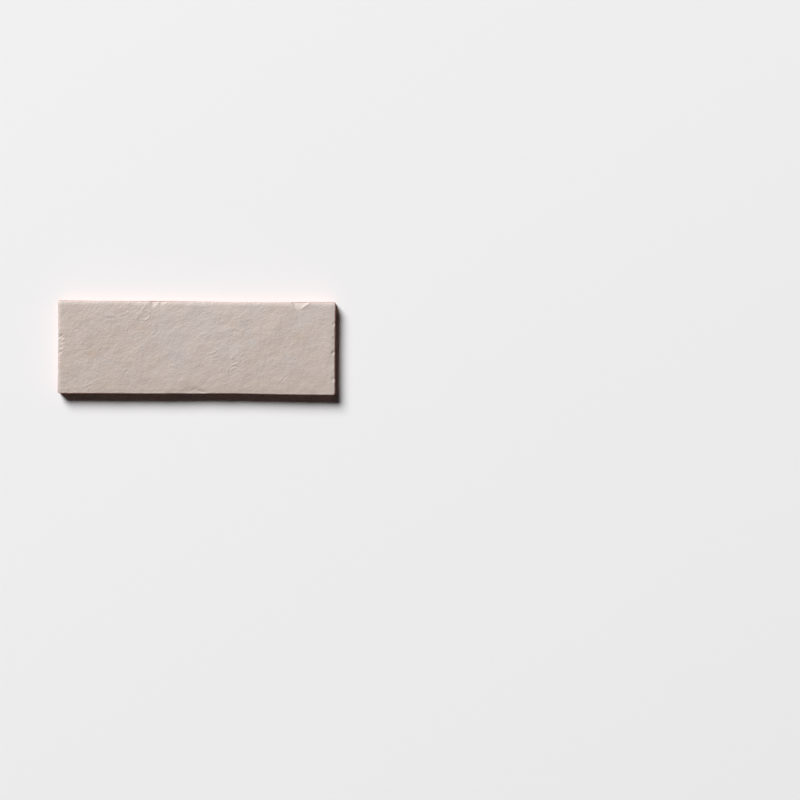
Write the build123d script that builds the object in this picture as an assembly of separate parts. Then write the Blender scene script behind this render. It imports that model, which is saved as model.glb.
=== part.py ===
from build123d import *
import os
from math import cos, pi, radians, sin, tan

# A pressed and glazed terracotta wall tile, of the long 65 x 200 mm kind.
# Sizes are in millimetres. The tile lies on its back with the glazed face up.
# X runs along its length, Y across its width, and the origin is the middle of the back.

# Overall size, over the back, which is the widest level
tile_length = 198.0
tile_width = 66.9
tile_thickness = 10.0

# Sides: they lean in towards the face, and firing has pulled the long ones in at the waist
side_lean = 0.25
waist_pull = 0.4
end_pull = 0.25
corner_radius = 1.5
side_ripple = 0.25
ripples_along = 1.5
ripple_phase = 2.7

# Face: a low crown across the width, with soft slow waves, each with its swing, length and phase
crown_drop = 0.5
long_swing = 0.2
long_wave = 120.0
long_phase = -0.26
cross_wave = 110.0
cross_phase = -0.3
short_swing = 0.06
short_wave = 43.0
short_phase = -1.1
short_skew = 30.0

# Rim of the face: a cushion that falls away near the edges, and a small round arris
cushion_drop = 0.36
cushion_reach = 3.4
arris_radius = 0.6

# Back: a flat land all round, and shallow keying cells between ribs
back_land = 5.0
rib_width = 2.6
cell_depth = 0.7
cell_draft_angle = 25.0
cell_corner = 1.2
cells_along = 6
cells_across = 2

# Gouges on the top side. Each has its place along it from the left end, its width, its reach
# inwards and the angle at which it runs down and out over the side.
top_side_gouges = [
    (68.6, 6.2, 3.8, 17.0),
    (75.0, 5.4, 2.8, 19.0),
]

# Scoops that the mould presses into the rim of the face. Each has its place along its side,
# from the left or the bottom end of that side, its width, its reach inwards and its depth.
bottom_side_scoops = [
    (97.6, 11.6, 2.0, 0.48),
    (104.4, 6.4, 1.2, 0.34),
]
left_end_scoops = [
    (29.8, 2.4, 2.2, 0.34),
    (33.4, 2.8, 2.4, 0.36),
    (36.9, 3.0, 3.0, 0.40),
    (40.6, 3.4, 3.2, 0.46),
]
right_end_scoops = [
    (11.4, 4.2, 1.8, 0.45),
    (30.4, 3.4, 2.2, 0.46),
    (35.6, 3.4, 1.8, 0.34),
    (40.6, 3.0, 1.6, 0.40),
    (50.6, 3.2, 1.8, 0.40),
]

# Facet on the top side near the right end: a flat bruise that starts from a point of the face,
# opens towards the rim and sinks that way, with a short steep wall on its left
facet_x = 71.0
facet_y = 27.4
facet_turn = 29.0
facet_slope = 13.5
facet_dip = 4.0
facet_wall_lean = 25.0

# How finely the sides and the face are drawn, and what is drawn past them and cut away
side_points = 9
end_points = 5
face_pitch = 14.0
face_fit = 0.001
face_overhang = 5.0
blank_spare = 2.0


def long_side_pull(u, direction):
    """How far a long side is drawn in, at a share u of half its length from its middle."""
    ripple = side_ripple * sin(pi * ripples_along * u + direction * ripple_phase)
    return (waist_pull - ripple) * (1 - u * u)


def short_end_pull(u):
    """How far a short end is drawn in, at a share u of half its width from its middle."""
    return end_pull * (1 - u * u)


def long_side(direction, inset, z):
    """Points of one long side, from left to right, seen from above."""
    half_length = tile_length / 2 - inset
    half_width = tile_width / 2 - inset
    steps = [-1 + 2 * i / (side_points - 1) for i in range(side_points)]
    return [(u * half_length, direction * (half_width - long_side_pull(u, direction)), z) for u in steps]


def short_end(direction, inset, z):
    """Points of one short end, from the bottom side to the top side, seen from above."""
    half_length = tile_length / 2 - inset
    half_width = tile_width / 2 - inset
    steps = [-1 + 2 * i / (end_points - 1) for i in range(end_points)]
    return [(direction * (half_length - short_end_pull(u)), u * half_width, z) for u in steps]


def outline(inset, z):
    """The tile's outline at one level, drawn in from the back's outline by inset."""
    return Wire(
        [
            Spline(*long_side(-1, inset, z)),
            Spline(*short_end(1, inset, z)),
            Spline(*long_side(1, inset, z)[::-1]),
            Spline(*short_end(-1, inset, z)[::-1]),
        ]
    )


def blank():
    """The body with its leaning sides and round corners, a little too tall, before the face is cut."""
    height = tile_thickness + blank_spare
    lean = side_lean * height / tile_thickness
    body = Solid.make_loft([outline(0, 0), outline(lean, height)], ruled=True)
    corners = [edge for edge in body.edges() if abs((edge @ 0).Z - (edge @ 1).Z) > tile_thickness / 2]
    return body.fillet(corner_radius, corners)


def cushion_fall(from_edge):
    """How far the face has fallen at a distance in from the edge."""
    into_cushion = max(0, cushion_reach - from_edge)
    return cushion_drop * (into_cushion / cushion_reach) ** 2


def face_height(x, y):
    """Height of the face above the back. The crests of the waves are near the tile's thickness."""
    half_length = tile_length / 2
    half_width = tile_width / 2
    long_one = sin(2 * pi * x / long_wave + long_phase) * cos(2 * pi * y / cross_wave + cross_phase)
    short_one = sin(2 * pi * x / short_wave + y / short_skew + short_phase)
    waves = long_swing * (long_one - 1) + short_swing * (short_one - 1)
    crown = crown_drop * (y / half_width) ** 2
    u = min(1, abs(x) / half_length)
    side_pull = side_lean + waist_pull * (1 - u * u)
    from_side = half_width - side_pull - abs(y)
    from_end = half_length - side_lean - abs(x)
    return tile_thickness + waves - crown - cushion_fall(from_side) - cushion_fall(from_end)


def stations(span):
    """Places across a span where the face has points: close together over the cushion."""
    middle = span - 4 * cushion_reach
    steps = max(2, round(middle / face_pitch))
    edge = [-face_overhang, -face_overhang / 2, 0]
    edge += [cushion_reach / 3, cushion_reach * 2 / 3, cushion_reach, cushion_reach * 3 / 2]
    inner = [-middle / 2 + middle * i / steps for i in range(steps + 1)]
    return [d - span / 2 for d in edge] + inner + [span / 2 - d for d in reversed(edge)]


def face_sheet():
    """The waving, cushioned sheet that cuts the face."""
    rows = [[(x, y, face_height(x, y)) for x in stations(tile_length)] for y in stations(tile_width)]
    return Face.make_surface_from_array_of_points(rows, tol=face_fit, min_deg=3)


def cut_face(body):
    """Takes off what lies above the sheet, and rounds the arris."""
    above = Solid.extrude(face_sheet(), Vector(0, 0, tile_thickness))
    body = (body - above).solids()[0]
    face = max(body.faces(), key=lambda each: each.center().Z)
    return body.fillet(arris_radius, face.outer_wire().edges())


def keying_cells():
    """The shallow cells of the back, each with leaning walls, set out between the ribs."""
    clear_length = tile_length - 2 * (back_land + end_pull)
    clear_width = tile_width - 2 * (back_land + waist_pull)
    cell_length = (clear_length - (cells_along - 1) * rib_width) / cells_along
    cell_width = (clear_width - (cells_across - 1) * rib_width) / cells_across
    mouth = RectangleRounded(cell_length, cell_width, cell_corner)
    cell = extrude(mouth, cell_depth, taper=cell_draft_angle)
    places = GridLocations(cell_length + rib_width, cell_width + rib_width, cells_along, cells_across)
    return places * cell


def scoop(rim, outward, width, reach, depth):
    """A ball that bites the rim at one point of it. Width is along the side. Its seam is on top."""
    circle_radius = (reach + (width / 2) ** 2 / reach) / 2
    ball_radius = (circle_radius**2 + depth**2) / (2 * depth)
    centre = rim + outward * (circle_radius - reach) + Vector(0, 0, ball_radius - depth)
    return Pos(centre) * Rot(0, -90, 0) * Sphere(ball_radius)


def long_side_rim(place, direction):
    """The point of the face's edge at a place along a long side, from its left end."""
    x = place - tile_length / 2
    y = direction * (tile_width / 2 - side_lean - long_side_pull(2 * x / tile_length, direction))
    return Vector(x, y, face_height(x, y))


def short_end_rim(place, direction):
    """The point of the face's edge at a place along a short end, from its bottom end."""
    y = place - tile_width / 2
    x = direction * (tile_length / 2 - side_lean - short_end_pull(2 * y / tile_width))
    return Vector(x, y, face_height(x, y))


def rim_scoops():
    """All the scoops in the rim."""
    scoops = []
    for place, *size in bottom_side_scoops:
        scoops.append(scoop(long_side_rim(place, -1), Vector(0, -1, 0), *size))
    for direction, end in ((1, right_end_scoops), (-1, left_end_scoops)):
        for place, *size in end:
            scoops.append(scoop(short_end_rim(place, direction), Vector(direction, 0, 0), *size))
    return scoops


def gouge(place, width, reach, angle):
    """A round bar that starts at a point of the face and runs down and out over the top side."""
    rim = long_side_rim(place, 1)
    start = Vector(rim.X, rim.Y - reach, face_height(rim.X, rim.Y - reach))
    depth = reach * tan(radians(angle)) - (start.Z - rim.Z)
    bar_radius = ((width / 2) ** 2 / depth + depth) / 2
    bar = Rot(90, 0, 0) * Cylinder(bar_radius, 4 * tile_thickness)
    return Pos(start) * Rot(-angle, 0, 0) * Pos(0, 0, bar_radius) * bar


def facet():
    """The wedge above the flat bruise. Its left wall leans back from the bruise."""
    length = 3 * tile_thickness
    lean = length * tan(radians(facet_wall_lean))
    profile = Polyline((0, 0), (length, 0), (length, length), (-lean, length), close=True)
    wedge = extrude(Plane.XZ * make_face(profile), -length)
    start = Vector(facet_x, facet_y, face_height(facet_x, facet_y))
    return Pos(start) * Rot(0, 0, facet_turn) * Rot(0, facet_dip, 0) * Rot(-facet_slope, 0, 0) * wedge


def tile():
    """The finished tile: one fired piece."""
    body = cut_face(blank())
    body = body - keying_cells()
    for ball in rim_scoops():
        body = body - ball
    for size in top_side_gouges:
        body = body - gouge(*size)
    return body - facet()


os.makedirs("parts", exist_ok=True)
finished = tile()
export_step(finished, "parts/tile.step")
print("tile", round(finished.volume), "mm3", finished.bounding_box().size)
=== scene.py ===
from math import cos, pi, radians, sin, tan

import bpy
import numpy as np
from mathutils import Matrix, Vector


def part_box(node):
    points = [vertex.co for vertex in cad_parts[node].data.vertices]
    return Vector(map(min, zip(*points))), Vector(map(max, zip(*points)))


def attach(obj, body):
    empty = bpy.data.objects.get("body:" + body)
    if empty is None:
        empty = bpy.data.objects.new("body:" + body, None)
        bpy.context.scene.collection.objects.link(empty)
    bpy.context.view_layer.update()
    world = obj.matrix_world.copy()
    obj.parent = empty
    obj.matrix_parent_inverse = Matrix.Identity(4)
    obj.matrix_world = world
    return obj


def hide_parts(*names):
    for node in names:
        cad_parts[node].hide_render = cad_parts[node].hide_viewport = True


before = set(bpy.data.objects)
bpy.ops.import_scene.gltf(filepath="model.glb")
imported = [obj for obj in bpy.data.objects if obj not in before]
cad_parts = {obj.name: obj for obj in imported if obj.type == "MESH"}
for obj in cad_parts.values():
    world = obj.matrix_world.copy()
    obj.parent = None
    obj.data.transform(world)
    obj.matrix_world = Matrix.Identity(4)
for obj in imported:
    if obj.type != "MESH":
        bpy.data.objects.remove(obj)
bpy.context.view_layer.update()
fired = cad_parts["tile"]  # the tile as the frame holds it: outline, waves, arris and scoops
low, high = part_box("tile")
mm = 0.001
print("frame loaded, tile", [round(v * 1000, 2) for v in high - low], "mm")


# Small helpers for picking and for modifiers

def toObjectMode():
    if bpy.context.object and bpy.context.object.mode != "OBJECT":
        bpy.ops.object.mode_set(mode="OBJECT")


def useOnly(*pieces):
    toObjectMode()
    bpy.ops.object.select_all(action="DESELECT")
    for piece in pieces:
        piece.select_set(True)
    bpy.context.view_layer.objects.active = pieces[0]


def places(piece):
    co = np.empty(len(piece.data.vertices) * 3)
    piece.data.vertices.foreach_get("co", co)
    return co.reshape(-1, 3)


def pickEdges(piece, wanted):
    # wanted gets the two end points of every edge and says which edges to select; ends in edit mode
    bpy.ops.object.mode_set(mode="EDIT")
    bpy.ops.mesh.select_mode(type="EDGE")
    bpy.ops.mesh.select_all(action="DESELECT")
    toObjectMode()
    ends = np.empty(len(piece.data.edges) * 2, dtype=np.int64)
    piece.data.edges.foreach_get("vertices", ends)
    co = places(piece)
    a, b = co[ends[0::2]], co[ends[1::2]]
    piece.data.edges.foreach_set("select", wanted(a, b))
    bpy.ops.object.mode_set(mode="EDIT")


def pickBorder():
    bpy.ops.mesh.select_mode(type="EDGE")
    bpy.ops.mesh.select_all(action="DESELECT")
    bpy.ops.mesh.select_non_manifold(
        extend=False, use_wire=False, use_boundary=True,
        use_multi_face=False, use_non_contiguous=False, use_verts=False,
    )


def finishWith(piece, kind, **settings):
    # adds one modifier, sets it and applies it at once
    useOnly(piece)
    bpy.ops.object.modifier_add(type=kind)
    modifier = piece.modifiers[-1]
    for name, value in settings.items():
        setattr(modifier, name, value)
    bpy.ops.object.modifier_apply(modifier=modifier.name)


faintest = 0.001  # weights up to this are left out


def weigh(piece, name, weights):
    # a vertex group from an array of weights
    group = piece.vertex_groups.new(name=name)
    for index in np.flatnonzero(weights > faintest):
        group.add([int(index)], float(weights[index]), "REPLACE")


def drop(*things):
    toObjectMode()
    for thing in things:
        bpy.data.objects.remove(thing)


# The body: one sheet of small squares for the face, grown out over the arris and down the sides

body = {
    "squaresAlong": 468,
    "squaresAcross": 156,
    "arrisRadius": 0.6 * mm,
    "arrisSteps": 5,
    "sideLean": 0.25 * mm,
    "sideRows": 10,
    "rimDrop": 1.0 * mm,
    "waistPull": 0.4 * mm,
    "waistPoints": 9,
    "cageHeight": 1.2,  # in thicknesses of the tile
    "softenRounds": 3,
    "softenShare": 0.5,
    "smoothUnder": radians(40),
}
tileLength, tileWidth, tileThickness = high - low
faceLevel = high.z - body["rimDrop"]
lastRow = body["arrisSteps"] + body["sideRows"]  # rows around the sheet; the last is the back's edge


def rimProfile():
    # how far out from the sheet of squares each row lies, and at what height
    radius = body["arrisRadius"]
    rows = []
    for step in range(1, body["arrisSteps"] + 1):
        angle = pi / 2 * step / body["arrisSteps"]
        rows.append((radius * sin(angle), faceLevel - radius * (1 - cos(angle))))
    top = rows[-1][1]
    for step in range(1, body["sideRows"] + 1):
        share = step / body["sideRows"]
        rows.append((radius + body["sideLean"] * share, top * (1 - share)))
    return rows


def makeShell():
    inset = body["arrisRadius"] + body["sideLean"]
    length, width = tileLength - 2 * inset, tileWidth - 2 * inset
    bpy.ops.object.select_all(action="DESELECT")
    bpy.ops.mesh.primitive_grid_add(
        x_subdivisions=body["squaresAlong"], y_subdivisions=body["squaresAcross"],
        size=1, location=(0, 0, faceLevel),
    )
    shell = bpy.context.object
    shell.name = "glazed_tile"
    bpy.ops.object.mode_set(mode="EDIT")
    bpy.ops.transform.resize(value=(length, width, 1), center_override=(0, 0, faceLevel))
    toObjectMode()
    bpy.ops.object.transform_apply(location=True, rotation=True, scale=True)
    bpy.ops.object.mode_set(mode="EDIT")
    pickBorder()
    out, level = 0, faceLevel
    for nextOut, nextLevel in rimProfile():
        growAlong = (length + 2 * nextOut) / (length + 2 * out)
        growAcross = (width + 2 * nextOut) / (width + 2 * out)
        bpy.ops.mesh.extrude_region_move(TRANSFORM_OT_translate={"value": (0, 0, nextLevel - level)})
        bpy.ops.transform.resize(value=(growAlong, growAcross, 1), center_override=(0, 0, nextLevel))
        out, level = nextOut, nextLevel
    toObjectMode()
    return shell


def drawInWaist(shell):
    # a lattice pulls the long sides in at the middle, as the firing did
    bpy.ops.object.add(type="LATTICE", location=(0, 0, tileThickness / 2))
    cage = bpy.context.object
    cage.scale = (tileLength, tileWidth, tileThickness * body["cageHeight"])
    cage.data.points_u = body["waistPoints"]
    cage.data.points_v = 2
    cage.data.points_w = 2
    for point in cage.data.points:
        along = point.co.x * 2
        point.co_deform.y *= 1 - body["waistPull"] / (tileWidth / 2) * (1 - along * along)
    finishWith(shell, "LATTICE", object=cage)
    drop(cage)


# The back: ribs and shallow keying cells, like those of the frame

back = {
    "cellsAlong": 6,
    "cellsAcross": 2,
    "pitchAlong": 31.683 * mm,
    "pitchAcross": 28.8 * mm,
    "ribWidth": 2.6 * mm,
    "cellDepth": 0.7 * mm,
    "draftAngle": radians(25),
    "cellCorner": 1.2 * mm,
    "cornerSteps": 5,
}


def makeBack():
    bpy.ops.object.select_all(action="DESELECT")
    length = back["pitchAlong"] * back["cellsAlong"]
    width = back["pitchAcross"] * back["cellsAcross"]
    bpy.ops.mesh.primitive_grid_add(
        x_subdivisions=back["cellsAlong"], y_subdivisions=back["cellsAcross"],
        size=1, location=(0, 0, 0),
    )
    plate = bpy.context.object
    bpy.ops.object.mode_set(mode="EDIT")
    bpy.ops.transform.resize(value=(length, width, 1), center_override=(0, 0, 0))
    bpy.ops.mesh.flip_normals()
    bpy.ops.mesh.inset(thickness=back["ribWidth"] / 2, use_individual=True)
    draft = back["cellDepth"] * tan(back["draftAngle"])
    bpy.ops.mesh.inset(thickness=draft, depth=-back["cellDepth"], use_individual=True)
    pickEdges(plate, lambda a, b: abs(a[:, 2] - b[:, 2]) > back["cellDepth"] / 2)
    bpy.ops.mesh.bevel(
        offset=back["cellCorner"], segments=back["cornerSteps"], affect="EDGES", clamp_overlap=False,
    )
    squares = body["squaresAlong"] // back["cellsAlong"]  # of the sheet, over one cell
    pickBorder()
    bpy.ops.mesh.subdivide(number_cuts=squares - 1)
    toObjectMode()
    return plate


def closeBack(shell, plate):
    useOnly(shell, plate)
    bpy.ops.object.join()
    bpy.ops.object.mode_set(mode="EDIT")
    pickBorder()
    bpy.ops.mesh.bridge_edge_loops()
    bpy.ops.mesh.select_all(action="SELECT")
    bpy.ops.mesh.normals_make_consistent(inside=False)
    toObjectMode()


def makeTile():
    shell = makeShell()
    ringCount = 2 * (body["squaresAlong"] + body["squaresAcross"])
    skinCount = len(shell.data.vertices)
    print("shell", skinCount, "vertices in", lastRow, "rows of", ringCount)
    drawInWaist(shell)
    closeBack(shell, makeBack())
    total = len(shell.data.vertices)
    row = np.zeros(total)  # 0 on the sheet, lastRow on the back
    for step in range(1, lastRow + 1):
        start = skinCount - ringCount * (lastRow - step + 1)
        row[start:] = step
    onSkin = np.zeros(total)
    onSkin[:skinCount] = 1
    weigh(shell, "skin", onSkin)
    finishWith(
        shell, "SHRINKWRAP", target=fired, wrap_method="NEAREST_SURFACEPOINT", vertex_group="skin",
    )
    finishWith(
        shell, "SMOOTH", factor=body["softenShare"], iterations=body["softenRounds"],
        vertex_group="skin",
    )
    rim = shell.data.attributes.new("rimRow", "FLOAT", "POINT")
    rim.data.foreach_set("value", row)
    return shell, row


tile, tileRow = makeTile()
print("tile closed,", len(tile.data.polygons), "faces")


# The pressed surface: slow swells, a fine skin, and the marks that the mould and the hand left

skin = {
    # each layer: noise, size in mm, height in mm and the share of it that lies under the frame's
    # surface, turn and stretch of its grain, where it lies
    "swells": [
        ("SOFT", 9.0, 0.42, 0.80, 30, 1.1, "face"),
        ("SOFT", 3.0, 0.15, 0.80, 35, 1.0, "face"),
        ("HARD", 1.7, 0.15, 0.78, 38, 1.1, "wrinkles"),
    ],
    "grain": [
        ("SOFT", 0.95, 0.22, 0.78, 40, 1.1, "grain"),
        ("HARD", 0.75, 0.12, 0.78, 42, 1.1, "grain"),
        ("SOFT", 2.4, 0.30, 0.66, 0, 1.0, "sides"),
        ("SOFT", 0.9, 0.14, 0.66, 0, 1.0, "sides"),
    ],
    # where each layer's noise starts, in metres: along and across for each mm of its size, and its level
    "noiseStart": (0.013, 0.007, 0.005),
    # the face's layers fade from this row to just under the arris, and change over these places, in mm
    "fadeRow": 2.5,
    "left": (-70, 15),
    "top": (5, 30),
    "crumpledAt": (24, -2),
    "crumpledReach": 20,
    # how much of a layer lies all over the face, and what those places add
    "grainShare": {"all": 0.8, "left": 0.12, "crumpled": 0.05, "top": 0.1},
    "wrinkleShare": {"all": 0.2, "left": 0.35, "crumpled": 0.4},
    # the outer edge of the face: how far in each side is pressed down or filled, and by how much
    "rim": {"upper": (3.6, -0.19), "left": (2.6, -0.12), "lower": (3.0, 0.19), "right": (3.0, 0.14)},
    "softenShare": 0.35,
}

# Marks on the face, in mm: the points along each, its half width, and its height,
# which is below 0 where it is pressed in
marks = [
    # broad hollows and one long low ridge, felt more than seen
    ([(-70.5, -1.5), (-67.5, -4.5)], 12.0, -0.24),
    ([(-36.0, -24.0), (-24.0, -18.0)], 12.0, -0.16),
    ([(-46.0, -36.0), (-20.0, -37.0), (8.0, -36.0)], 17.0, -0.21),
    ([(36.0, -8.0), (52.0, 8.0), (62.0, 18.0)], 15.0, 0.13),
    ([(80.0, 2.0), (84.0, 12.0)], 10.0, -0.12),
    ([(18.0, 4.0), (22.0, -4.0)], 8.0, -0.08),
    # the hollow at the lower side
    ([(-3.0, -33.4), (3.2, -33.4)], 2.6, -0.14),
    ([(-4.8, -31.2), (-2.6, -29.9), (-0.5, -29.2), (2.4, -30.6), (5.6, -32.0)], 0.65, -0.17),
    ([(-3.6, -31.4), (-0.5, -30.1), (2.4, -31.3), (4.4, -32.2)], 0.9, -0.09),
    ([(2.6, -30.4), (6.0, -32.4)], 0.8, -0.12),
    # the inner ends of the two gouges, and the right wall of one, which the glaze half fills
    ([(-31.3, 30.2), (-32.0, 33.6)], 2.3, -0.30),
    ([(-25.6, 30.9), (-26.4, 33.8)], 2.2, -0.27),
    ([(-27.6, 32.2)], 1.6, 0.14),
    # the round mark near the upper side, with its streaks
    ([(-36.9, 23.2)], 3.4, -0.17),
    ([(-38.6, 21.2), (-37.2, 20.5), (-35.2, 21.5), (-34.3, 23.2)], 0.8, -0.13),
    ([(-38.4, 19.6), (-36.8, 19.1), (-34.2, 20.6), (-33.1, 23.2), (-33.8, 25.2)], 0.9, 0.16),
    ([(-39.9, 22.6)], 0.8, 0.16),
    ([(-37.4, 25.6), (-36.4, 26.0)], 0.7, 0.14),
    ([(-36.4, 22.6), (-35.8, 24.0)], 0.6, 0.11),
    ([(-38.4, 27.6), (-36.0, 29.8)], 0.8, 0.17),
    ([(-36.6, 27.6), (-34.8, 29.2)], 0.7, 0.13),
    ([(-39.4, 26.0), (-37.8, 27.2)], 0.7, 0.11),
    ([(-43.2, 20.2), (-40.4, 23.6), (-37.6, 27.2)], 1.1, 0.08),
    ([(-41.4, 19.8), (-39.2, 22.4)], 0.9, -0.07),
    ([(-40.8, 26.4), (-39.0, 28.4)], 0.9, -0.06),
    # wrinkles along the upper left
    ([(-64.4, 22.0), (-62.0, 22.5), (-59.6, 22.1)], 1.5, 0.15),
    ([(-64.0, 20.2), (-61.0, 20.4)], 1.0, -0.06),
    ([(-54.6, 22.4), (-53.0, 23.4), (-51.8, 23.2)], 0.9, 0.14),
    ([(-50.6, 23.8), (-49.3, 24.8), (-48.0, 24.6)], 0.9, 0.14),
    ([(-51.2, 22.0), (-49.6, 23.0)], 0.8, -0.08),
    ([(-60.6, 8.6), (-58.4, 9.6)], 1.0, 0.07),
    ([(-56.0, 27.2), (-52.6, 28.2)], 1.2, 0.06),
    ([(-47.0, 26.6), (-45.0, 28.0)], 1.0, 0.07),
    ([(-88.2, 15.6), (-86.8, 18.0)], 0.9, 0.09),
    ([(-90.4, 21.6), (-88.6, 22.8)], 0.9, 0.06),
    ([(-85.6, 14.4), (-84.0, 13.4)], 0.8, 0.06),
    # ridges around the ochre spot
    ([(-31.6, 9.2), (-28.6, 12.6)], 0.75, 0.08),
    ([(-30.0, 8.6), (-27.0, 12.0)], 0.6, -0.07),
    ([(-28.4, 8.2), (-25.8, 11.2)], 0.75, 0.08),
    ([(-31.2, 12.6), (-28.8, 13.8)], 0.8, 0.05),
    ([(-42.4, 10.8), (-40.2, 11.4), (-38.0, 10.8)], 0.9, 0.08),
    ([(-42.0, 9.6), (-38.4, 9.5)], 0.8, -0.05),
    ([(-46.6, 7.0), (-43.8, 10.2)], 0.9, 0.07),
    ([(-44.6, 3.6), (-41.6, 6.2)], 1.1, 0.05),
    # the lower left
    ([(-81.6, -28.9), (-78.0, -27.4), (-74.3, -25.8)], 0.8, 0.11),
    ([(-80.0, -32.0), (-78.0, -31.6), (-76.3, -30.2)], 0.8, 0.10),
    ([(-75.2, -23.8), (-73.6, -23.6)], 1.1, -0.12),
    ([(-75.4, -21.4), (-73.6, -21.2), (-72.4, -22.2)], 0.8, 0.07),
    ([(-64.6, -19.4), (-62.6, -18.8), (-62.2, -20.6), (-64.0, -21.2), (-64.6, -19.4)], 0.7, 0.06),
    ([(-52.4, -18.2), (-50.4, -15.8)], 0.8, 0.08),
    ([(-51.2, -18.6), (-49.6, -16.8)], 0.6, -0.06),
    ([(-58.0, -22.8), (-55.4, -21.0)], 0.8, 0.08),
    ([(-19.6, -18.2), (-17.8, -16.0)], 0.8, 0.07),
    ([(-20.6, -15.4), (-18.6, -14.4), (-17.0, -15.0)], 0.8, -0.05),
    # the two long folds across the middle
    ([(-20.4, 14.2), (-15.6, 18.2), (-9.8, 20.4), (-3.6, 21.6)], 1.4, 0.06),
    ([(-19.0, 12.0), (-14.4, 15.6), (-8.6, 17.8), (-2.6, 19.0)], 1.2, -0.045),
    ([(-17.6, 10.4), (-13.4, 13.6), (-8.0, 15.6)], 1.2, 0.04),
    # the crumpled part right of the middle
    ([(24.8, 19.4), (28.4, 21.0), (32.6, 22.5)], 0.9, 0.08),
    ([(24.4, 21.4), (27.2, 23.0)], 0.9, -0.08),
    ([(24.6, 12.6), (26.8, 13.8), (29.6, 13.4), (31.8, 11.8), (33.0, 9.8)], 0.9, 0.09),
    ([(25.2, 10.8), (27.6, 11.8), (29.6, 10.8)], 0.9, -0.07),
    ([(33.4, 12.6), (36.0, 14.4), (38.8, 15.0)], 0.9, 0.06),
    ([(8.0, -4.3), (10.8, -4.0), (13.8, -2.9)], 0.8, 0.10),
    ([(8.6, -5.6), (12.4, -5.2)], 0.7, -0.05),
    ([(5.6, 7.3), (8.4, 8.6), (11.3, 10.3)], 0.8, 0.06),
    ([(4.6, 9.4), (7.0, 10.8)], 0.7, 0.05),
    ([(13.4, 1.2), (15.8, 3.2), (18.2, 4.2)], 1.0, 0.05),
    ([(17.0, -9.6), (18.4, -7.6)], 1.0, -0.08),
    ([(15.8, -10.2), (19.0, -11.6)], 0.9, 0.07),
    ([(25.6, -7.0)], 1.5, 0.24),
    ([(24.6, -13.6), (26.2, -11.9), (28.6, -11.7), (30.4, -13.0)], 0.75, 0.15),
    ([(25.6, -15.0), (27.4, -13.9), (29.2, -14.6)], 0.7, 0.13),
    ([(25.0, -14.3), (27.0, -12.9), (29.4, -13.4)], 0.5, -0.12),
    ([(22.2, -18.6), (22.0, -16.4), (22.8, -14.6)], 0.8, 0.13),
    ([(15.8, -19.8), (18.2, -17.8)], 1.1, -0.10),
    ([(30.8, -16.4), (33.4, -15.4)], 1.0, 0.05),
    # the scratch and the combed patch at the right
    ([(65.1, -20.5), (63.2, -22.7), (59.7, -26.2)], 0.6, 0.09),
    ([(64.1, -20.1), (62.2, -22.3), (58.7, -25.8)], 0.6, -0.10),
    ([(66.6, 11.0), (69.0, 14.4)], 0.55, 0.05),
    ([(68.0, 10.6), (70.4, 13.8)], 0.55, 0.05),
    ([(69.4, 10.2), (71.6, 13.2)], 0.55, 0.05),
    ([(65.4, 12.2), (67.2, 14.8)], 0.55, 0.05),
    # the soft lip around the flat bruise
    ([(79.8, 32.6), (75.6, 28.8)], 1.6, 0.18),
    ([(68.0, 31.4), (68.8, 30.4)], 0.9, -0.14),
    # the left end's slanting nicks, cut over its half filled scoops
    ([(-98.8, 3.4)], 2.4, 0.20),
    ([(-98.8, 0.0)], 2.4, 0.24),
    ([(-98.8, -3.6)], 2.0, 0.16),
    ([(-97.8, 6.4), (-94.9, 9.0)], 0.6, -0.22),
    ([(-97.6, 7.6), (-95.6, 9.8)], 0.6, 0.10),
    ([(-97.2, 4.4), (-94.4, 7.0)], 0.7, -0.26),
    ([(-96.8, 1.2), (-93.8, 3.8)], 0.7, -0.20),
    ([(-96.4, -0.8), (-95.0, 0.6)], 0.9, -0.22),
    ([(-97.0, -4.2), (-95.8, -3.0)], 0.7, -0.22),
    ([(-97.4, 9.8), (-95.6, 11.2)], 0.8, -0.12),
    ([(-97.8, 13.6), (-96.6, 14.6)], 0.8, -0.10),
    # and those of the right end
    ([(95.9, 2.6), (98.2, 5.4)], 0.9, -0.12),
    ([(96.2, -3.9), (98.3, -2.6)], 0.9, -0.10),
    ([(96.6, 9.4), (98.0, 11.0)], 0.8, -0.10),
]


def distanceTo(co, points):
    # how far each vertex lies from a line of points, seen from above
    best = np.full(len(co), 1.0)  # a metre, past any reach
    for first, second in zip(points, points[1:] or points):
        a, b = np.array(first) * mm, np.array(second) * mm
        run = b - a
        share = np.clip(((co[:, :2] - a) @ run) / max(run @ run, 1e-12), 0, 1)
        best = np.minimum(best, np.linalg.norm(co[:, :2] - a - share[:, None] * run, axis=1))
    return best


def ease(value, start, end):
    share = np.clip((value - start) / (end - start), 0, 1)
    return share * share * (3 - 2 * share)


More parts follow.
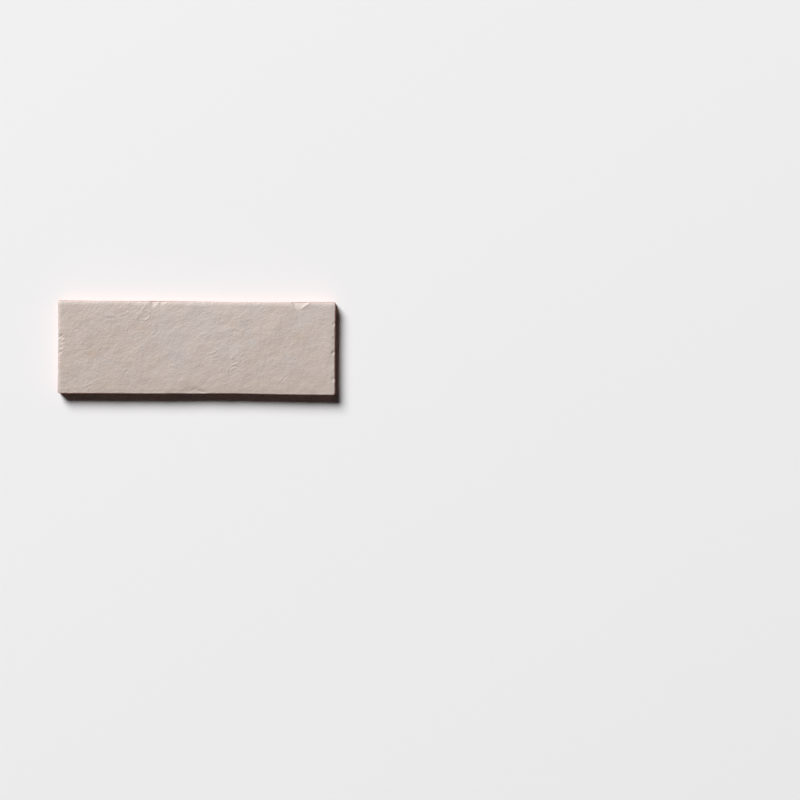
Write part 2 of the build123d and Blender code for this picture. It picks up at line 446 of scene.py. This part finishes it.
def whereLayersLie(co):
    # the face's layers end at the arris; the left, the top and the crumpled part get more of them
    x, y = co[:, 0] / mm, co[:, 1] / mm
    face = 1 - ease(tileRow, skin["fadeRow"], body["arrisSteps"] + 1)
    left = 1 - ease(x, *skin["left"])
    top = ease(y, *skin["top"])
    middleX, middleY = skin["crumpledAt"]
    reach = skin["crumpledReach"]
    crumpled = np.exp(-((x - middleX) / reach) ** 2 - ((y - middleY) / reach) ** 2)
    share = skin["grainShare"]
    grain = share["all"] + share["left"] * left + share["crumpled"] * crumpled + share["top"] * top
    share = skin["wrinkleShare"]
    wrinkles = share["all"] + share["left"] * left * (1 + top) / 2 + share["crumpled"] * crumpled
    sides = ease(tileRow, body["arrisSteps"] - 1, body["arrisSteps"] + 2)
    sides[tileRow == lastRow] = 0  # the back and its edge stay flat
    return {
        "face": face,
        "grain": face * np.minimum(1, grain),
        "wrinkles": face * wrinkles,
        "sides": sides,
    }


def roughen(layers):
    for number, (kind, size, height, under, turn, stretch, group) in enumerate(layers):
        texture = bpy.data.textures.new(group + str(number), "CLOUDS")
        texture.noise_scale = size * mm
        texture.noise_depth = 1
        texture.noise_type = kind + "_NOISE"
        bpy.ops.object.select_all(action="DESELECT")
        along, across, level = skin["noiseStart"]
        bpy.ops.object.empty_add(
            location=(size * along, size * across, level), rotation=(0, 0, radians(turn)),
        )
        grainWay = bpy.context.object
        grainWay.scale = (stretch, 1, 1)
        bpy.context.view_layer.update()
        finishWith(
            tile, "DISPLACE", texture=texture, texture_coords="OBJECT", texture_coords_object=grainWay,
            direction="NORMAL", strength=height * mm, mid_level=under, vertex_group=group,
        )
        drop(grainWay)


def rimShift(co):
    # a little more or less of the cushion, as the light on each side of the photo asks
    x, y = co[:, 0] / mm, co[:, 1] / mm
    away = {
        "upper": high.y / mm - y,
        "left": x - low.x / mm,
        "lower": y - low.y / mm,
        "right": high.x / mm - x,
    }
    return sum(rise * (1 - ease(away[side], 0, reach)) for side, (reach, rise) in skin["rim"].items())


def layMarks():
    co = places(tile)
    upper = tileRow <= body["arrisSteps"]
    height = rimShift(co) * upper
    for points, reach, rise in marks:
        away = np.minimum(distanceTo(co, points) / (reach * mm), 1)
        height += rise * (0.5 + 0.5 * np.cos(pi * away)) * upper
    for name, amount, way in (("raised", height, 1), ("pressed", -height, -1)):
        most = amount.max()
        weigh(tile, name, amount / most)
        finishWith(
            tile, "DISPLACE", direction="Z", strength=way * most * mm, mid_level=0, vertex_group=name,
        )
    finishWith(tile, "SMOOTH", factor=skin["softenShare"], iterations=1, vertex_group="face")


for groupName, groupWeights in whereLayersLie(places(tile)).items():
    weigh(tile, groupName, groupWeights)
roughen(skin["swells"])
layMarks()
roughen(skin["grain"])
highest = places(tile)[:, 2].max() / mm
print("skin and", len(marks), "marks on the face, highest point", round(highest, 3), "mm")


# Materials. A noise has its size in mm, detail, roughness and twist.
# A fade has the two values it runs between, and most have what they give at those two.

glaze = {
    "body": (193, 180, 173),
    "warm": (193, 176, 164),
    "ochre": (195, 172, 155),
    "cool": (189, 180, 177),
    # a paler tone that varies at random, and also the colour of the painted light patches
    "pale": (199, 188, 181),
    # the colour of the painted shade patches
    "paintedShade": (185, 171, 162),
    "speck": (193, 175, 161),
    # the colour of the painted highlight band along the rim
    "rimHighlight": (205, 196, 191),
    "grainTurn": radians(-35),
    "grainShift": (31, 12, 5),
    "grainStretch": 1.3,
    "mottleNoise": (17.0, 3, 0.55, 0.8),
    "cloudNoise": (5.0, 3, 0.6, 0.4),
    "speckNoise": (0.9, 2, 0.6),
    "skinNoise": (0.62, 3, 0.6),
    "skinHeight": 0.115,
    "warmFade": (0.48, 0.68, 0, 0.45),
    "coolFade": (0.5, 0.34, 0, 0.45),
    "stainFade": (0.3, 0.7, 0.45, 1.2),
    "paleFade": (0.42, 0.72, 0, 0.35),
    "speckFade": (0.45, 0.7, 0, 0.55),
    "roughFade": (0.3, 0.7, 0.46, 0.6),
    "specular": 0.4,
    # the painted highlight band along the rim, in mm from the edge, and its breaks
    "bandFade": (0.6, 2.4),
    "bandBreaks": (0.3, 0.6, 0.35, 1),
    # the edge of the glaze, in rows around the sheet, and its ragged line
    "edgeFade": (0.9, 2.1),
    "edgeNoise": (2.2, 3, 0.5),
    "edgeSwing": (0.3, 0.7, -0.7, 0.7),
}
clay = {
    "body": (160, 108, 86),
    "dark": (127, 82, 63),
    "pale": (181, 134, 113),
    "film": (198, 156, 147),
    "firingNoise": (9.0, 3, 0.6),
    "sandNoise": (0.8, 3, 0.65),
    "sandHeight": 0.12,
    "grogSize": 1.5,
    "firingFade": (0.35, 0.65, 0, 0.5),
    "sandFade": (0.45, 0.7, 0, 0.55),
    "grogFade": (0.22, 0.12, 0, 0.6),
    "filmFade": (4.0, 7.0, 0.85, 0),  # in rows around the sheet
    "roughness": 0.88,
}

# Stains under the glaze, and patches of painted shade and painted light, as the marks above: points in
# mm, half width, strength
ochreStains = [
    ([(-90.0, -28.0), (-30.0, -31.0), (40.0, -31.0), (90.0, -28.0)], 13.0, 0.3),
    ([(-92.0, 20.0), (-93.0, -20.0)], 14.0, 0.25),
    ([(-74.4, -5.6), (-73.2, -2.4)], 4.6, 1.0),
    ([(-73.2, -3.0), (-68.4, 1.4), (-64.0, 4.2)], 6.5, 0.6),
    ([(-71.0, 3.0), (-60.0, 9.0)], 10.0, 0.35),
    ([(-43.2, 14.4), (-39.6, 13.6)], 3.2, 0.9),
    ([(-40.0, 14.6), (-33.0, 11.0)], 6.0, 0.25),
    ([(-60.0, -1.0), (-48.0, 2.0)], 7.0, 0.25),
    ([(52.0, 3.0), (56.0, 0.0)], 8.0, 0.35),
    ([(72.8, 8.0), (76.0, 5.0)], 5.5, 0.5),
    ([(46.0, -5.0), (43.0, -4.0)], 5.0, 0.35),
    ([(86.0, 14.0), (88.0, 6.0)], 7.0, 0.2),
]
coolBlooms = [
    ([(-30.0, 8.0), (0.0, 12.0), (30.0, 6.0)], 24.0, 0.35),
    ([(-80.0, 14.0), (-70.0, 12.0)], 8.0, 0.5),
    ([(-66.0, 26.0), (-62.0, 17.0)], 5.0, 0.5),
    ([(-66.0, -10.0), (-58.0, -12.0)], 6.5, 0.6),
    ([(-38.0, -2.0), (-34.0, -5.0)], 6.0, 0.5),
    ([(-20.0, -2.0), (-14.0, -9.0)], 8.0, 0.7),
    ([(-1.0, 16.0), (0.0, 6.0)], 7.0, 0.6),
    ([(24.0, 4.0), (28.0, -1.0)], 6.0, 0.6),
    ([(32.0, 19.0), (38.0, 10.0), (40.0, 4.0)], 5.0, 0.8),
    ([(18.0, 12.0), (12.0, 20.0)], 8.0, 0.4),
    ([(64.0, -7.0), (67.0, -10.0)], 4.5, 0.9),
    ([(8.0, -4.0), (2.0, -12.0)], 7.0, 0.4),
    ([(70.0, 26.0), (69.0, 18.0)], 5.0, 0.4),
]
# darker patches on the face: painted shade
paintedShadePatches = [
    ([(-86.0, 20.0), (-76.0, 12.0), (-76.0, 4.0)], 15.0, 0.6),
    ([(-62.0, 12.0), (-38.0, 13.0)], 9.0, 0.55),
    ([(-40.0, -25.0), (-26.0, -26.0)], 9.0, 0.4),
    ([(44.0, 12.0), (47.0, 8.0)], 9.0, 0.3),
    ([(70.0, -27.0), (92.0, -26.0)], 10.0, 0.35),
]
# lighter patches on the face: painted light, one of them lifting the shade beside the long ridge
paintedLightPatches = [
    ([(-40.0, 27.0), (0.0, 29.0), (32.0, 27.0)], 11.0, 0.35),
    ([(-14.0, 8.0), (8.0, 6.0), (26.0, 2.0)], 16.0, 0.3),
    ([(74.0, 24.0), (74.0, 29.0)], 10.0, 0.9),
    ([(-93.0, -27.0), (-80.0, -25.0)], 10.0, 0.45),
    ([(88.0, 13.0), (92.0, 8.0)], 8.0, 0.25),
    ([(46.0, -12.0), (50.0, -15.0)], 8.0, 0.25),
]


def paint(name, strokes):
    # lays soft strokes into an attribute of the tile
    co = places(tile)
    amount = np.zeros(len(co))
    for points, reach, strength in strokes:
        away = distanceTo(co, points) / (reach * mm)
        amount = np.maximum(amount, strength * (1 - ease(away, 0, 1)))
    layer = tile.data.attributes.new(name, "FLOAT", "POINT")
    layer.data.foreach_set("value", amount)


def paintRimHighlight():
    # how near the outer edge a place lies: 1 at the edge, 0 further in than the painted highlight band
    co = places(tile) / mm
    away = np.minimum(tileLength / mm / 2 - np.abs(co[:, 0]), tileWidth / mm / 2 - np.abs(co[:, 1]))
    layer = tile.data.attributes.new("rimHighlightShare", "FLOAT", "POINT")
    layer.data.foreach_set("value", 1 - ease(away, *glaze["bandFade"]))


def colour(red, green, blue):
    # a colour as read on screen, made linear
    def linear(value):
        value /= 255
        return value / 12.92 if value <= 0.04045 else ((value + 0.055) / 1.055) ** 2.4
    return linear(red), linear(green), linear(blue), 1


def addNode(tree, kind, inputs, **settings):
    made = tree.nodes.new(kind)
    for name, value in settings.items():
        setattr(made, name, value)
    for name, value in inputs.items():
        if isinstance(value, bpy.types.NodeSocket):
            tree.links.new(value, made.inputs[name])
        else:
            made.inputs[name].default_value = value
    return made


def calc(tree, operation, a, b):
    return addNode(tree, "ShaderNodeMath", {0: a, 1: b}, operation=operation).outputs[0]


def mixColours(tree, share, a, b):
    mixer = addNode(tree, "ShaderNodeMix", {0: share, 6: a, 7: b}, data_type="RGBA")
    return mixer.outputs[2]


def mixValues(tree, share, a, b):
    return addNode(tree, "ShaderNodeMix", {0: share, 2: a, 3: b}, data_type="FLOAT").outputs[0]


def fade(tree, value, start, end, first=0.0, last=1.0):
    # smooth change from first to last while value goes from start to end
    ramp = addNode(
        tree, "ShaderNodeMapRange",
        {"Value": value, "From Min": start, "From Max": end, "To Min": first, "To Max": last},
        interpolation_type="SMOOTHSTEP",
    )
    return ramp.outputs[0]


def noise(tree, coords, size, detail, roughness, twist=0.0):
    # size in mm; coords are in mm too
    made = addNode(
        tree, "ShaderNodeTexNoise",
        {"Vector": coords, "Scale": 1 / size, "Detail": detail, "Roughness": roughness,
         "Distortion": twist},
    )
    return made.outputs[0]


def inMillimetres(tree, turn=0.0, shift=(0, 0, 0), stretch=1.0):
    place = addNode(tree, "ShaderNodeTexCoord", {})
    scaled = addNode(
        tree, "ShaderNodeMapping",
        {"Vector": place.outputs["Object"], "Location": shift, "Rotation": (0, 0, turn),
         "Scale": (1000 / stretch, 1000, 1000)},
    )
    return scaled.outputs[0]


def attribute(tree, name):
    return addNode(tree, "ShaderNodeAttribute", {}, attribute_name=name).outputs["Fac"]


def layColours(tree, recipe, layers):
    # starts from the body colour and lays each named colour over it by its share
    laid = colour(*recipe["body"])
    for share, name in layers:
        laid = mixColours(tree, share, laid, colour(*recipe[name]))
    return laid


def glazeColour(tree, coords, slanted, clouds):
    # mottling of the glaze: warm and cool clouds, the stains under it and a fine speckle, with patches
    # of painted shade and painted light and a painted highlight band along the rim
    mottle = noise(tree, slanted, *glaze["mottleNoise"])
    specks = noise(tree, coords, *glaze["speckNoise"])
    ragged = fade(tree, clouds, *glaze["stainFade"])
    breaks = fade(tree, clouds, *glaze["bandBreaks"])
    return layColours(tree, glaze, (
        (fade(tree, mottle, *glaze["warmFade"]), "warm"),
        (fade(tree, mottle, *glaze["coolFade"]), "cool"),
        (calc(tree, "MULTIPLY", attribute(tree, "coolBloom"), ragged), "cool"),
        (calc(tree, "MULTIPLY", attribute(tree, "ochreStain"), ragged), "ochre"),
        # patches of painted shade, then of painted light
        (attribute(tree, "paintedShadePatch"), "paintedShade"),
        (attribute(tree, "paintedLightPatch"), "pale"),
        (fade(tree, clouds, *glaze["paleFade"]), "pale"),
        (fade(tree, specks, *glaze["speckFade"]), "speck"),
        # the painted highlight band along the rim, broken by the clouds
        (calc(tree, "MULTIPLY", attribute(tree, "rimHighlightShare"), breaks), "rimHighlight"),
    ))


def clayColour(tree, coords, sand):
    # bare terracotta: soft changes of firing, sand and paler grog, under a thin film of glaze that
    # pales the clay next to the arris
    firing = noise(tree, coords, *clay["firingNoise"])
    grog = addNode(tree, "ShaderNodeTexVoronoi", {"Vector": coords, "Scale": 1 / clay["grogSize"]})
    return layColours(tree, clay, (
        (fade(tree, firing, *clay["firingFade"]), "pale"),
        (fade(tree, sand, *clay["sandFade"]), "dark"),
        (fade(tree, grog.outputs["Distance"], *clay["grogFade"]), "pale"),
        (fade(tree, attribute(tree, "rimRow"), *clay["filmFade"]), "film"),
    ))


def glazedClay():
    material = bpy.data.materials.new("glazedTerracotta")
    material.use_nodes = True
    tree = material.node_tree
    shader = tree.nodes["Principled BSDF"]
    coords = inMillimetres(tree)
    slanted = inMillimetres(tree, glaze["grainTurn"], glaze["grainShift"], glaze["grainStretch"])
    clouds = noise(tree, slanted, *glaze["cloudNoise"])
    sand = noise(tree, coords, *clay["sandNoise"])

    # the glaze stops raggedly part of the way round the arris
    swing = fade(tree, noise(tree, coords, *glaze["edgeNoise"]), *glaze["edgeSwing"])
    bareShare = fade(tree, calc(tree, "ADD", attribute(tree, "rimRow"), swing), *glaze["edgeFade"])
    face = glazeColour(tree, coords, slanted, clouds)
    bare = clayColour(tree, coords, sand)
    tree.links.new(mixColours(tree, bareShare, face, bare), shader.inputs["Base Color"])
    glazeRough = fade(tree, clouds, *glaze["roughFade"])
    tree.links.new(mixValues(tree, bareShare, glazeRough, clay["roughness"]), shader.inputs["Roughness"])
    shader.inputs["Specular IOR Level"].default_value = glaze["specular"]

    # fine relief, heights in mm
    fineSkin = calc(tree, "MULTIPLY", noise(tree, slanted, *glaze["skinNoise"]), glaze["skinHeight"])
    coarse = calc(tree, "MULTIPLY", sand, clay["sandHeight"])
    height = mixValues(tree, bareShare, fineSkin, coarse)
    bump = addNode(tree, "ShaderNodeBump", {"Height": height, "Distance": mm, "Strength": 1.0})
    tree.links.new(bump.outputs["Normal"], shader.inputs["Normal"])
    return material


paint("ochreStain", ochreStains)
paint("coolBloom", coolBlooms)
# patches of painted shade and painted light
paint("paintedShadePatch", paintedShadePatches)
paint("paintedLightPatch", paintedLightPatches)
# the painted highlight band along the rim
paintRimHighlight()
useOnly(tile)
bpy.ops.object.shade_smooth_by_angle(angle=body["smoothUnder"])
tile.data.materials.clear()
tile.data.materials.append(glazedClay())
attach(tile, "root")
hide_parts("tile")
print("glaze and bare clay on", tile.name)


# Floor, lamp, world and camera

studio = {
    "floorSize": 60.0,
    "floorColour": (244, 243, 244),
    "floorRoughness": 0.9,
    "floorSpecular": 0.1,
    "backdrop": (0.9, 0.9, 0.9, 1),
    "fill": 0.015,
    "lampWay": (-0.68, 1.05, 1.0),
    "lampDistance": 20.0,
    "lampSize": 10.7,
    "lampPower": 6325,
}
photo = {
    "imageSize": 800,
    "tileAt": (196.25, 347.6),  # the middle of the tile in the picture
    "pixelsPerMetre": 1406.7,
    "turn": radians(0.38),
    "distance": 1.5,
    "sensor": 36.0,
}


def layFloor():
    bpy.ops.object.select_all(action="DESELECT")
    bpy.ops.mesh.primitive_plane_add(size=studio["floorSize"], location=(0, 0, 0))
    floor = bpy.context.object
    floor.name = "floor"
    material = bpy.data.materials.new("paleFloor")
    material.use_nodes = True
    shader = material.node_tree.nodes["Principled BSDF"]
    shader.inputs["Base Color"].default_value = colour(*studio["floorColour"])
    shader.inputs["Roughness"].default_value = studio["floorRoughness"]
    shader.inputs["Specular IOR Level"].default_value = studio["floorSpecular"]
    floor.data.materials.append(material)


def hangLamp():
    way = Vector(studio["lampWay"]).normalized()
    bpy.ops.object.light_add(type="AREA", location=way * studio["lampDistance"])
    lamp = bpy.context.object
    lamp.name = "softLamp"
    lamp.rotation_euler = way.to_track_quat("Z", "Y").to_euler()
    lamp.data.shape = "DISK"
    lamp.data.size = studio["lampSize"]
    lamp.data.energy = studio["lampPower"]


def fillWorld():
    # a faint fill for what the lamp doesn't reach; what the camera and reflections see is pale
    world = bpy.data.worlds.new("studio")
    world.use_nodes = True
    bpy.context.scene.world = world
    tree = world.node_tree
    tree.nodes.clear()
    rays = addNode(tree, "ShaderNodeLightPath", {})
    seen = calc(tree, "MAXIMUM", rays.outputs["Is Camera Ray"], rays.outputs["Is Glossy Ray"])
    seen = calc(tree, "MAXIMUM", seen, rays.outputs["Is Transmission Ray"])
    fill = addNode(tree, "ShaderNodeBackground", {"Color": (1, 1, 1, 1), "Strength": studio["fill"]})
    pale = addNode(tree, "ShaderNodeBackground", {"Color": studio["backdrop"], "Strength": 1.0})
    both = addNode(tree, "ShaderNodeMixShader", {0: seen, 1: fill.outputs[0], 2: pale.outputs[0]})
    addNode(tree, "ShaderNodeOutputWorld", {"Surface": both.outputs[0]})


def setCamera():
    # straight down, with the tile where the picture has it
    scale = photo["pixelsPerMetre"]
    right = (photo["imageSize"] / 2 - photo["tileAt"][0]) / scale
    down = (photo["imageSize"] / 2 - photo["tileAt"][1]) / scale
    turn = photo["turn"]
    x = right * cos(turn) + down * sin(turn)
    y = right * sin(turn) - down * cos(turn)
    bpy.ops.object.camera_add(location=(x, y, high.z + photo["distance"]), rotation=(0, 0, turn))
    camera = bpy.context.object
    camera.name = "photoCamera"
    camera.data.sensor_width = photo["sensor"]
    camera.data.lens = photo["sensor"] * photo["distance"] * scale / photo["imageSize"]
    bpy.context.scene.camera = camera


layFloor()
hangLamp()
fillWorld()
setCamera()
bpy.context.scene.view_settings.view_transform = "Standard"
print("floor, lamp, world and camera are set")
